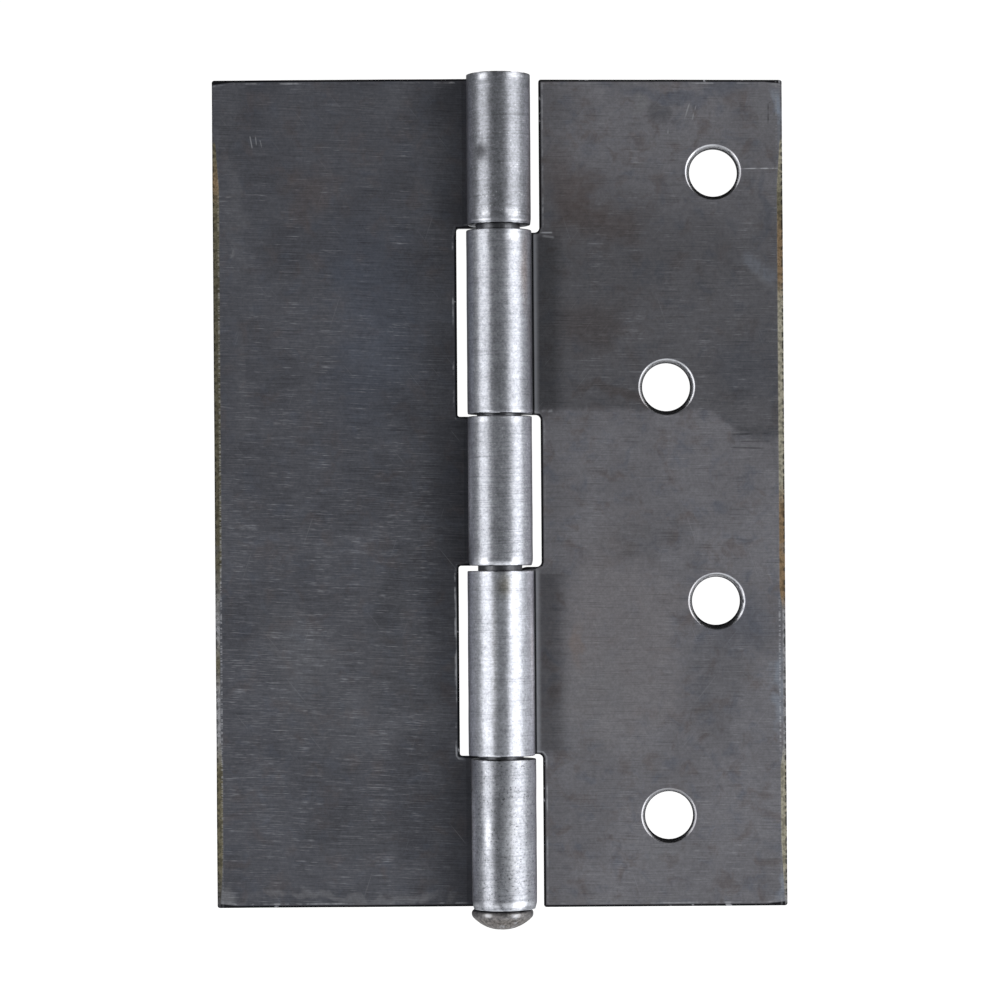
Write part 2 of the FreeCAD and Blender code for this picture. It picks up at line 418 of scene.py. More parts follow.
def rollRoundPin(bm, leaf, foot):
    # keeps each point's place on the flat blank, so that the rolling grain can follow the sheet
    layer = bm.verts.layers.float_vector.new("sheetPlace")
    toneLayer = bm.verts.layers.float.new("knuckleTone")
    besideLayer = bm.verts.layers.float.new("besideKnuckle")
    for v in bm.verts:
        across, depth, up = v.co
        v[layer] = Vector((across, depth, up)) / mm
        found = knuckleAt(leaf, up)
        inside = 0.0
        if found:
            low, high, knuckle = found
            inside = min(1, max(0, min(up - low, high - up) / (0.8 * mm)) + 0.2)
            v[toneLayer] = knuckle["tone"]
        v[besideLayer] = inside
        if across < 0:
            across, depth = barrelPlace(leaf, depth, -across / sheet["middleRadius"], up, low, knuckle)
        v.co = (leaf["side"] * across, depth, foot + up)
    if leaf["side"] < 0:
        bmesh.ops.reverse_faces(bm, faces=bm.faces[:])


def dent(bm, leaf, foot):
    # shallow knocks on the barrel's front, pushed in along the barrel's own radius
    reach = sheet["outerRadius"] / mm
    for right, up, halfWidth, halfHeight, depth in leaf["dents"]:
        centre = Vector((right * mm, -sqrt(reach ** 2 - right ** 2) * mm, foot + up * mm))
        for v in bm.verts:
            away = v.co - centre
            away.z *= halfWidth / halfHeight
            share = away.length / (halfWidth * mm)
            if share < 1:
                radial = Vector((v.co.x, v.co.y, 0)).normalized()
                v.co -= radial * depth * mm * (1 - share * share) ** 2


def unsettle(bm, leaf, foot, width):
    # hand-size unevenness: rims and edges that aren't dead straight, always inward
    for v in bm.verts:
        drift = noise.noise(v.co * 90 + Vector((leaf["side"] * 7, 0, 0)))
        ripple = noise.noise(v.co * 420 + Vector((0, leaf["side"] * 3, 0)))
        inward = (0.5 + 0.35 * drift + 0.15 * ripple) * sheet["wander"]
        up = v.co.z - foot
        nearTop = max(0, 1 - (leafHeight - up) / sheet["topFallReach"])
        v.co.z -= leaf["topFall"] * nearTop * max(0, abs(v.co.x) - sheet["notchReach"])
        if up < sheet["rimReach"]:
            v.co.z += inward
        if up > leafHeight - sheet["rimReach"]:
            v.co.z -= inward
        if abs(v.co.x) > width - sheet["outerReach"]:
            v.co.x -= copysign(inward, v.co.x)


def buildLeaf(leaf):
    low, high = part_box(leaf["node"])
    width = high.x if leaf["side"] > 0 else -low.x
    bm, outline = blankSheet(leaf, width)
    if leaf["holes"]:
        bm = drillHoles(bm, leaf)
    easeEdges(bm, width)
    cutGrid(bm, leaf, width)
    markGaps(bm, leaf, outline)
    rollRoundPin(bm, leaf, low.z)
    dent(bm, leaf, low.z)
    unsettle(bm, leaf, low.z, width)
    return finishPiece(bm, leaf)


def markSharp(bm):
    # smooth all over but for real corners, and for the low rims that the lips leave on the face
    for edge in bm.edges:
        turn = edge.calc_face_angle(0) if len(edge.link_faces) == 2 else 0
        onFace = all(abs(v.co.y - sheet["boreRadius"]) < 0.002 * mm for v in edge.verts)
        edge.smooth = turn < radians(15 if onFace else 50)


def finishPiece(bm, piece):
    bmesh.ops.remove_doubles(bm, verts=bm.verts[:], dist=0.001 * mm)
    for face in bm.faces:
        face.smooth = True
    markSharp(bm)
    made = objectFrom(bm, piece["name"])
    weighted = made.modifiers.new("weighted", "WEIGHTED_NORMAL")
    weighted.keep_sharp = True
    weighted.weight = 80
    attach(made, piece["node"])
    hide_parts(piece["node"])
    print("built", piece["name"], "with", len(made.data.polygons), "faces")
    return made


def pinProfile(foot, top):
    seat, head, rod = foot + pin["headHeight"], pin["headRadius"], pin["rodRadius"]
    rimFoot = seat - pin["rimHeight"]
    dome = rimFoot - foot
    domeRadius = (head ** 2 + dome ** 2) / (2 * dome)
    halfAngle = asin(head / domeRadius)
    points = []
    for i in range(19):
        angle = halfAngle * i / 18
        points.append((domeRadius * sin(angle), foot + domeRadius * (1 - cos(angle))))
    for i in range(6):
        angle = radians(90) * i / 5
        points.append((head - pin["rimRound"] * (1 - cos(angle)),
                       seat - pin["rimRound"] * (1 - sin(angle))))
    fillet = 0.12 * mm
    points += [(rod + fillet, seat), (rod + fillet / 4, seat + fillet / 4)]
    steps = 60
    length = top - pin["endChamfer"] - seat - fillet
    points += [(rod, seat + fillet + length * i / steps) for i in range(steps + 1)]
    points += [(rod - pin["endChamfer"] * 0.5, top - pin["endChamfer"] * 0.42),
               (rod - pin["endChamfer"], top), (0, top)]
    return points, seat


def buildPin():
    low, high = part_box(pin["node"])
    profile, seat = pinProfile(low.z, high.z)
    bm = turned(profile, pin["steps"])

    def atRim(edge):
        rimFoot = seat - pin["rimHeight"]
        return all(abs(v.co.z - rimFoot) < 0.001 * mm for v in edge.verts)

    roundEdges(bm, sharpEdges(bm, radians(15), atRim), pin["domeRound"], 4)
    place = bm.verts.layers.float_vector.new("sheetPlace")
    headLayer = bm.verts.layers.float.new("pinHead")
    for v in bm.verts:
        v[place] = Vector((atan2(v.co.y, v.co.x) * pin["rodRadius"], 0, v.co.z)) / mm
        if v.co.z < seat - 0.02 * mm:
            rough = noise.noise(v.co * 700) + 0.5 * noise.noise(v.co * 1900)
            radial = Vector((v.co.x, v.co.y, (v.co.z - seat) * 0.8)).normalized()
            v.co -= radial * pin["forgeDepth"] * (0.8 + 0.55 * rough)
            v[headLayer] = 1.0
    return finishPiece(bm, pin)


# A value in a shader tree. Arithmetic on it, with another or with a number, adds the node that does it
class Wire:
    def __init__(self, socket):
        self.socket = socket
        self.tree = socket.id_data

    def maths(self, operation, *others):
        return firstOf(self.tree, "ShaderNodeMath", (self, *others), operation=operation)

    def vector(self, operation, *others):
        return firstOf(self.tree, "ShaderNodeVectorMath", (self, *others), operation=operation)

    def __add__(self, other):
        return self.maths("ADD", other)

    def __sub__(self, other):
        return self.maths("SUBTRACT", other)

    def __rsub__(self, other):
        return self.maths("MULTIPLY_ADD", -1.0, other)

    def __mul__(self, other):
        return self.maths("MULTIPLY", other)

    def __truediv__(self, other):
        return self.maths("DIVIDE", other)

    def ramped(self, low, high, outLow=0.0, outHigh=1.0, kind="LINEAR"):
        given = (self, low, high, outLow, outHigh)
        return firstOf(self.tree, "ShaderNodeMapRange", given, interpolation_type=kind)

    def eased(self, *given):
        return self.ramped(*given, kind="SMOOTHSTEP")

    def fading(self, low, high):
        return self.eased(low, high, 1.0, 0.0)

    def noise(self, scale, detail=3.0, roughness=0.5, distortion=0.0):
        given = {"Vector": self, "Scale": scale, "Detail": detail, "Roughness": roughness,
                 "Distortion": distortion}
        return firstOf(self.tree, "ShaderNodeTexNoise", given)

    def beside(self, name):
        # another output of the same node
        return Wire(self.socket.node.outputs[name])

    def parts(self, kind="ShaderNodeSeparateXYZ"):
        return [Wire(socket) for socket in addNode(self.tree, kind, (self,)).outputs]

    def slanted(self, angle):
        given = {"Vector": self, "Angle": angle}
        return firstOf(self.tree, "ShaderNodeVectorRotate", given, rotation_type="Y_AXIS")

    def stops(self, levels):
        # follows the given (height, level or tint's name) stops up the leaf
        made = addNode(self.tree, "ShaderNodeValToRGB", (self / leafTop,))
        elements = made.color_ramp.elements
        while len(elements) < len(levels):
            elements.new(0.5)
        for element, (height, level) in zip(elements, levels):
            element.position = height / leafTop
            element.color = tints[level] if level in tints else (level, level, level, 1)
        return Wire(made.outputs[0])


def feed(socket, value):
    if isinstance(value, Wire):
        value.tree.links.new(value.socket, socket)
    else:
        socket.default_value = value


def addNode(tree, kind, given=(), **settings):
    # given fills the node's sockets, by their names or in their order
    made = tree.nodes.new(kind)
    for name, value in settings.items():
        setattr(made, name, value)
    for key, value in given.items() if isinstance(given, dict) else enumerate(given):
        feed(made.inputs[key], value)
    return made


def firstOf(tree, kind, given=(), **settings):
    return Wire(addNode(tree, kind, given, **settings).outputs[0])


def combined(across, through, up):
    return firstOf(up.tree, "ShaderNodeCombineXYZ", (across, through, up))


def mixed(mask, first, second, blend="MIX"):
    tree = (mask if isinstance(mask, Wire) else second).tree
    given = {0: mask, 6: first, 7: second}
    return Wire(addNode(tree, "ShaderNodeMix", given, data_type="RGBA", blend_type=blend).outputs[2])


def painted(colour, mask, tint):
    return mixed(mask, colour, tints[tint])


def scaled(colour, factor):
    return mixed(1.0, colour, combined(factor, factor, factor), "MULTIPLY")


def nudged(place, colours, reach):
    # moves a place by a noise's colours, so that what is drawn there gets an uneven outline
    centred = colours.vector("SUBTRACT", (0.5, 0.5, 0.5))
    return centred.vector("MULTIPLY_ADD", (reach, 0, reach), place)


groups = {}


def startGroup(name, vectors, numbers, results):
    # vectors, numbers and results are the names of its sockets, with spaces between them
    tree = bpy.data.node_groups.new(name, "ShaderNodeTree")
    sides = ((vectors, "INPUT", "Vector"), (numbers, "INPUT", "Float"), (results, "OUTPUT", "Float"))
    for labels, side, kind in sides:
        for label in labels.split():
            tree.interface.new_socket(name=label, in_out=side, socket_type="NodeSocket" + kind)
    groups[name] = tree
    given = [Wire(socket) for socket in addNode(tree, "NodeGroupInput").outputs if socket.name]
    return given, addNode(tree, "NodeGroupOutput").inputs


def placeGroup(name, **given):
    tree = next(value.tree for value in given.values() if isinstance(value, Wire))
    made = addNode(tree, "ShaderNodeGroup", given, node_tree=groups[name])
    return [Wire(socket) for socket in made.outputs]


# Short bright dashes that run across the pin, as the sheet was rolled, dark furrows and a fine grain
def rollingMarksGroup():
    (place, slant, length, pitch, crowding), result = startGroup(
        "rollingMarks", "Place", "Slant Length Pitch Crowding", "Dashes Furrows Grain")
    along, through, up = place.slanted(slant).parts()
    lifted = place.noise(0.1, 1.0) * 0.4 + up

    def stretched(lengthShare, pitchShare, seed):
        return combined(along / (length * lengthShare), through * 0.4 + seed, lifted / (pitch * pitchShare))

    ridges = stretched(1.0, 1.0, 0.0).noise(1.0, 0.0)
    low = 0.68 - crowding * 0.16
    beads = stretched(0.24, 1.5, 5.0).noise(1.0, 1.0).ramped(0.42, 0.66)
    feed(result["Dashes"], ridges.ramped(low, low + 0.16) * beads)
    feed(result["Furrows"], ridges.eased(0.40, 0.24))
    feed(result["Grain"], stretched(1.0, 0.9, 9.0).noise(1.0, 2.0, 0.6))


# One soft-edged stain: 1 inside an oval, fading to 0, with a border torn by the noise it is given
def softPatchGroup():
    (place, centre, size, soft, ragged, tear), result = startGroup(
        "softPatch", "Place Centre Size", "Soft Ragged Tear", "Mask")
    away = place.vector("SUBTRACT", centre).vector("DIVIDE", size)
    distance = away.vector("LENGTH").beside("Value")
    torn = (tear - 0.5).maths("MULTIPLY_ADD", ragged, distance)
    feed(result["Mask"], torn.fading(1 - soft, 1.0))


# One scratch: a thin straight line with ends that fade and gaps along it
def lineMarkGroup():
    (place, centre, angle, halfLength, halfWidth, tear), result = startGroup(
        "lineMark", "Place Centre", "Angle HalfLength HalfWidth Tear", "Mask")
    right, through, rise = place.vector("SUBTRACT", centre).slanted(angle).parts()
    ends = (right.maths("ABSOLUTE") / halfLength).fading(0.6, 1.0)
    sides = (rise.maths("ABSOLUTE") / halfWidth).fading(0.4, 1.4)
    feed(result["Mask"], ends * sides * tear.eased(0.40, 0.56, 0.2, 1.0))


# Sparse hairlines at a chosen slant, from much-stretched noise
def hairlinesGroup():
    (place, slant, shift), result = startGroup("hairlines", "Place", "Slant Shift", "Mask")
    along, through, up = place.slanted(slant).parts()
    feed(result["Mask"], combined(along * 0.15, shift, up * 5.0).noise(1.0, 0.0).eased(0.77, 0.85))


# Sheared edges: a dark outline, which is painted shade on the cut faces, with worn bright stretches, and a
# thin light line just inside it
def shearedEdgeGroup():
    (gap, width, wear, tear), result = startGroup("shearedEdge", "", "Gap Width Wear Tear", "Dark Light")
    outline = (gap / width).fading(0.85, 1.35)
    inside = gap - width * 1.3
    beside = inside.eased(0.0, 0.08) * inside.fading(0.16, 0.28)
    low = 0.68 - wear * 0.36
    worn = tear.eased(low, low + 0.08)
    feed(result["Dark"], outline * (1 - worn))
    feed(result["Light"], (outline * worn).maths("MAXIMUM", beside * tear.eased(0.46, 0.7)))


for makeGroup in (rollingMarksGroup, softPatchGroup, lineMarkGroup, hairlinesGroup, shearedEdgeGroup):
    makeGroup()

# Reflectance of each finish, in linear light. The soot tint also paints shade, and the worn tint also paints
# highlights on the barrel, round the holes' lips, at the crease and on the pin's head
tints = {
    "worn": (0.80, 0.81, 0.85, 1),
    "light": (0.33, 0.33, 0.345, 1),
    "dark": (0.10, 0.101, 0.11, 1),
    "soot": (0.012, 0.012, 0.014, 1),
    "lip": (0.24, 0.24, 0.246, 1),
    "blue": (0.15, 0.175, 0.23, 1),
    "sheen": (0.44, 0.50, 0.60, 1),
    "brown": (0.185, 0.142, 0.127, 1),
    "orange": (0.36, 0.24, 0.17, 1),
    "beige": (0.34, 0.321, 0.332, 1),
    "olive": (0.175, 0.157, 0.105, 1),
    "darkOlive": (0.125, 0.115, 0.080, 1),
    "paleOlive": (0.40, 0.375, 0.295, 1),
    "rust": (0.28, 0.198, 0.118, 1),
    "barrel": (0.33, 0.339, 0.368, 1),
    "rodDark": (0.03, 0.031, 0.034, 1),
    "rodLight": (0.15, 0.153, 0.165, 1),
    "headDark": (0.05, 0.044, 0.04, 1),
    "headLight": (0.225, 0.204, 0.19, 1),
}
# Noise over the sheet: scale per mm, detail, roughness, distortion
noises = {
    "broad": (0.12, 3, 0.55, 0.3),  # clouds
    "tear": (0.45, 5, 0.62, 0.5),   # mottling, and the ragged borders of stains
    "speck": (4.2, 3, 0.7),
    "scales": (1.7, 2),
    "dots": (2.3, 2),               # in the mill edge's scale
    "rodTear": (0.9, 5, 0.62),
    "rodSpeck": (3.4, 5, 0.65),
}
leafTop = leafHeight / mm
sheetMiddle = sheet["middleRadius"] / mm


def startMaterial(name):
    material = bpy.data.materials.new(name)
    material.use_nodes = True
    tree = material.node_tree
    tree.nodes.clear()
    shader = addNode(tree, "ShaderNodeBsdfPrincipled", {"Metallic": 1.0})
    addNode(tree, "ShaderNodeOutputMaterial", (Wire(shader.outputs[0]),))
    return material, tree, shader.inputs


def readAttribute(tree, name, output="Fac"):
    return Wire(addNode(tree, "ShaderNodeAttribute", attribute_name=name).outputs[output])


def paintPatches(place, tear, colour, patches):
    for tint, strength, across, up, halfAcross, halfUp, soft, ragged in patches:
        mask, = placeGroup("softPatch", Place=place, Centre=(across, sheetMiddle, up),
                           Size=(halfAcross, 60.0, halfUp), Soft=soft, Ragged=ragged, Tear=tear)
        colour = painted(colour, mask * strength, tint)
    return colour


def paintLines(place, tear, colour, lines):
    for tint, strength, across, up, angle, halfLength, halfWidth in lines:
        mask, = placeGroup("lineMark", Place=place, Centre=(across, sheetMiddle, up), Tear=tear,
                           Angle=radians(angle), HalfLength=halfLength, HalfWidth=halfWidth)
        colour = painted(colour, mask * strength, tint)
    return colour


def addBump(shader, height, distance):
    given = {"Strength": 0.5, "Distance": distance, "Height": height}
    feed(shader["Normal"], firstOf(height.tree, "ShaderNodeBump", given))


def stainedFace(look, fields):
    # the flat leaf: clouded base tone, faint hues of the mill scale, then its own stains
    colour = mixed(fields["broad"].eased(0.35, 0.65), look["faceLow"], look["face"])
    hues = fields["tearColour"].parts("ShaderNodeSeparateColor")
    for hue, tint in ((hues[1], "blue"), (hues[2], "brown")):
        colour = painted(colour, hue.eased(0.5, 0.7, 0.0, look["hueStrength"]), tint)
    warped = nudged(fields["place"], fields["broadColour"], 9.0)
    warped = nudged(warped, fields["tearColour"], 3.2)
    colour = paintPatches(warped, fields["tear"], colour, look["patches"])
    if "waterline" in look:
        colour = tideMark(look["waterline"], colour, warped, fields)
    return colour


def tideMark(mark, colour, warped, fields):
    # above a ragged line across the leaf the face is darker, and the line dips towards the outer edge
    line = mark["height"] - fields["across"].eased(mark["dipFrom"], mark["dipTo"], 0.0, mark["dip"])
    rise = warped.parts()[2] * 0.2 + fields["up"] * 0.8 - line
    over = ((fields["tear"] - 0.5) * mark["ragged"] + rise).eased(-0.5, 0.5)
    fade = fields["up"].eased(mark["fadeTo"], mark["fadeFrom"])
    return painted(colour, over * fade * mark["strength"], "dark")


def rolledBarrel(tree, look, fields):
    # the barrel's skin was stretched bright over the mandrel, so it is speckled and mottled; its patches and
    # lines also paint highlights and shade
    tear, speck = fields["tear"], fields["speck"]
    colour = scaled(tints["barrel"], readAttribute(tree, "knuckleTone"))
    colour = paintPatches(fields["place"], tear, colour, look["barrelPatches"])
    colour = scaled(colour, speck.ramped(0.34, 0.66, 0.85, 1.13) * tear.ramped(0.36, 0.64, 0.9, 1.1))
    colour = painted(colour, speck.eased(0.66, 0.74) * look["fleckStrength"], "worn")
    colour = painted(colour, speck.eased(0.40, 0.31) * fields["up"].stops(look["pitStops"]), "soot")
    return paintLines(fields["place"], tear, colour, look["barrelLines"])


def millEdge(look, fields, colour):
    # the long rounded edges keep a patchy scale, with dark specks in it and a dotted burr line inside
    across, up, tear = fields["across"], fields["up"], fields["tear"]
    kept = up.stops(look["scaleStops"])
    nose = (across - (look["noseFrom"] + 0.5 - kept * 0.55)).eased(-0.04, 0.08)
    dots = fields["place"].noise(*noises["dots"])
    shade = scaled(up.stops(look["scaleTints"]), dots.eased(0.3, 0.7, 0.6, 1.35))
    shade = painted(shade, dots.eased(0.60, 0.68, 0.0, look["scaleSpecks"]), "soot")
    scale = nose * kept.eased(0.05, 0.3) * tear.eased(0.3, 0.42, 0.7, 1.0)
    colour = mixed(scale, colour, shade)
    rim = across.eased(*bands["rim"]) * dots.eased(0.46, 0.56, 1.0, 0.1)
    colour = painted(colour, rim * kept.eased(0.0, 0.5, 0.3, look["rimDark"]), "soot")
    burr = look["burrFrom"]
    inside = across.eased(burr, burr + 0.1) * across.fading(burr + 0.22, burr + 0.34)
    beads = combined(across * 1.1, 0.0, up * 5.2).noise(1.0, 1.0).eased(0.44, 0.62)
    return painted(colour, inside * beads * up.stops(look["burrStops"]), "worn"), scale


# Where the looks begin and end on the sheet, in mm
bands = {
    "barrel": (-0.5, -2.5),         # across, from the flat leaf onto the barrel
    "marks": (4.5, 12.0),           # across, where the rolling marks come out beside the barrel
    "foot": (0.9, 0.4),             # up, the worn foot of the lowest knuckle
    "beside": (3.0, 3.6),           # across, the strips where a knuckle's root meets the leaf
    "crease": (4.30, 4.40),
    "ridge": (4.34, 4.44),
    "ridgeEnd": (4.44, 5.1),
    "rim": (34.76, 34.86),          # across, the outer edge's dark rim
    "lipDepth": (2.76, 2.80),       # through the sheet
    "lipEdge": (0.9, 0.7),          # away from the bore, as are the next two
    "lipLine": (0.36, 0.42),
    "bore": (0.15, 0.05),
    "headRim": (-50.9, -50.2),      # up, the pin's head
}


def leafMaterial(leaf, look):
    material, tree, shader = startMaterial(leaf["name"] + "Steel")
    place = readAttribute(tree, "sheetPlace", "Vector")
    across, through, up = place.parts()
    broad, tear, speck = [place.noise(*noises[name]) for name in ("broad", "tear", "speck")]
    fields = {"place": place, "across": across, "up": up, "broad": broad, "tear": tear, "speck": speck,
              "broadColour": broad.beside("Color"), "tearColour": tear.beside("Color")}
    onBarrel = across.eased(*bands["barrel"])
    onLeaf = 1 - onBarrel

    colour = stainedFace(look, fields)
    # painted shade on the leaf beside its own knuckles, where the barrel shades it and darkly reflects in it
    beside = readAttribute(tree, "besideKnuckle")
    barrelShade = across.eased(look["bendFrom"], look["bendTo"], look["bendDark"], 0.0)
    colour = painted(colour, beside * onLeaf * barrelShade, "soot")
    colour = mixed(onBarrel, colour, rolledBarrel(tree, look, fields))

    # rolling marks catch the light from the sides, because a scratch scatters more than the skin
    crowding = (broad - 0.5) * 1.2 + up.stops(look["crowdStops"])
    dashes, furrows, rolled = placeGroup("rollingMarks", Place=place, Slant=look["slant"], Length=4.4,
                                         Pitch=0.1, Crowding=crowding)
    clear = onBarrel.maths("MAXIMUM", across.eased(*bands["marks"], 0.12, 1.0))
    dashes = dashes * tear.eased(0.36, 0.6, 0.4, 1.0) * look["dashStrength"] * clear * (1 - onBarrel * 0.75)
    depth = look["grainDepth"]
    grain = rolled.ramped(0.34, 0.66, -depth, depth) * (1 - onBarrel * 0.4) + 1
    scales = place.noise(*noises["scales"]).ramped(0.34, 0.66, 0.95, 1.05)
    dust = speck.ramped(0.3, 0.7, 0.88, 1.12) * scales
    colour = scaled(colour, grain * dust * (1 - furrows * 0.18))
    rising, = placeGroup("hairlines", Place=place, Slant=0.9, Shift=2.0)
    falling, = placeGroup("hairlines", Place=place, Slant=-1.25, Shift=7.0)
    dashes = dashes.maths("MAXIMUM", rising.maths("MAXIMUM", falling) * 0.07 * onLeaf)
    colour = painted(colour, dashes, "worn")
    colour = paintLines(place, tear, colour, look["lines"])

    # sheared edges with painted shade on the cut faces, the punched holes' lips with a painted highlight
    # line and painted shade in the bores, then the mill edge, and painted shade and a painted highlight at
    # the crease beside the barrel
    wear = onBarrel * (0.65 - look["edgeWear"]) + look["edgeWear"]
    dark, light = placeGroup("shearedEdge", Gap=readAttribute(tree, "edgeGap"), Tear=tear,
                             Width=0.25 - onBarrel * 0.17, Wear=wear)
    foot = onBarrel * up.eased(*bands["foot"])
    # painted shade on the cut faces, less at the worn foot of the lowest knuckle
    colour = painted(colour, dark * (0.95 - foot * 0.9), "soot")
    colour = painted(colour, light * 0.5, "worn")
    boreGap = readAttribute(tree, "boreGap")
    lip = through.eased(*bands["lipDepth"]) * boreGap.eased(*bands["lipEdge"])
    colour = painted(colour, lip * tear.eased(0.3, 0.7, 0.5, 0.95), "lip")
    # a painted highlight line round each lip's outer step
    line = lip * boreGap.eased(*bands["lipLine"]) * tear.eased(0.36, 0.56, 0.05, 0.42)
    colour = painted(colour, line, "worn")
    # painted shade on the bores' walls
    colour = painted(colour, boreGap.eased(*bands["bore"]), "soot")
    colour, scale = millEdge(look, fields, colour)
    beside = beside.eased(0.2, 0.6) * across.eased(*bands["beside"])
    # painted shade: a black line in the crease where a knuckle's root meets the leaf, then a thin painted
    # highlight just beyond it
    colour = painted(colour, across.fading(*bands["crease"]) * beside * look["creaseDark"], "soot")
    ridge = across.eased(*bands["ridge"]) * across.fading(*bands["ridgeEnd"])
    colour = painted(colour, ridge * beside * look["creaseLight"], "worn")
    feed(shader["Base Color"], colour)

    feed(shader["Metallic"], 1 - dashes * look["dashScatter"])
    rough = (speck - 0.5) * 0.12 + scale * 0.2 - lip * 0.12 + look["rough"]
    feed(shader["Roughness"], onBarrel * (look["barrelRough"] - look["rough"]) + rough)
    height = speck * (onBarrel * look["barrelRelief"] + 0.3)
    addBump(shader, rolled * 0.6 + height, 0.014 * mm)
    return material


# Painted highlights on the head's rim, tinted as worn metal, as in the patches below; its front lies at
# -4.24 across
pinHeadHighlights = [
    ("worn", 0.4, -5.6, -50.0, 0.5, 0.35, 0.8, 1.6),
    ("worn", 0.4, -3.1, -50.1, 0.6, 0.4, 0.8, 1.6),
]


def pinMaterial():
    material, tree, shader = startMaterial("pinRodSteel")
    place = readAttribute(tree, "sheetPlace", "Vector")
    tear, speck = place.noise(*noises["rodTear"]), place.noise(*noises["rodSpeck"])
    onHead = readAttribute(tree, "pinHead").eased(0.2, 0.8)
    drawn = placeGroup("rollingMarks", Place=place, Slant=radians(90), Length=2.6, Pitch=0.16,
                       Crowding=0.6)[0]
    rod = painted(mixed(tear, tints["rodDark"], tints["rodLight"]), drawn * 0.3, "light")
    head = mixed(speck.eased(0.35, 0.65), tints["headDark"], tints["headLight"])
    head = painted(head, tear.eased(0.56, 0.68), "light")
    head = painted(head, place.parts()[2].eased(*bands["headRim"], 0.0, 0.22), "barrel")
    # painted highlights on the head's rim
    head = paintPatches(place, tear, head, pinHeadHighlights)
    feed(shader["Base Color"], mixed(onHead, rod, head))
    feed(shader["Roughness"], speck * 0.1 + onHead * 0.14 + 0.3)
    addBump(shader, speck * (onHead * 0.8 + 0.2), 0.034 * mm)
    return material


